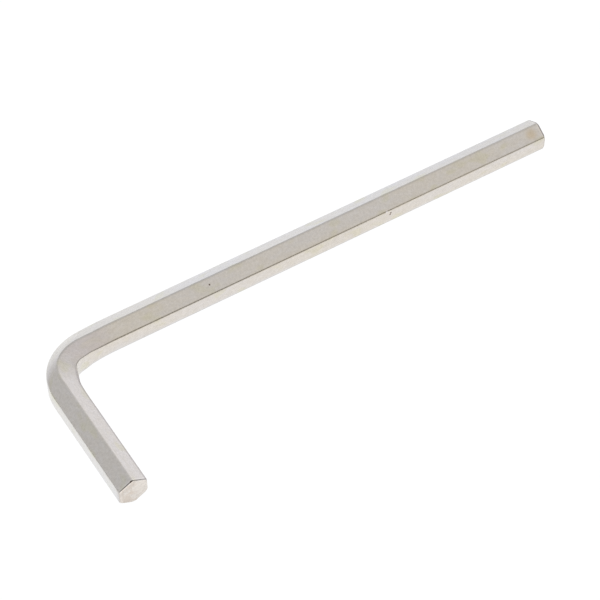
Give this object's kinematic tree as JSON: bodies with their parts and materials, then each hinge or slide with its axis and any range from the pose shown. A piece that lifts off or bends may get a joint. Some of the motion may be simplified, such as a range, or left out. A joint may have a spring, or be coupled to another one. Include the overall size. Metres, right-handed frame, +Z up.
{
  "type": "hex key",
  "caption": "L-shaped hex key: a length of hexagonal bar bent square near one end, cut square at each tip with its rim broken to lead it into a hexagon socket.",
  "frame": {"origin": "on the table under the middle of the key's outline, with the key at rest on the lowest edge of each arm", "axes": "+X along the long arm towards its tip, -Y along the short arm towards its tip, +Z up and square to the plane of the bend"},
  "size_m": [0.08, 0.025, 0.0045],
  "materials": {
    "nickel_plate": "nickel plate over drawn steel bar, soft satin shine"
  },
  "bodies": {
    "root": {"hex_key": "nickel_plate"}
  },
  "joints": []
}
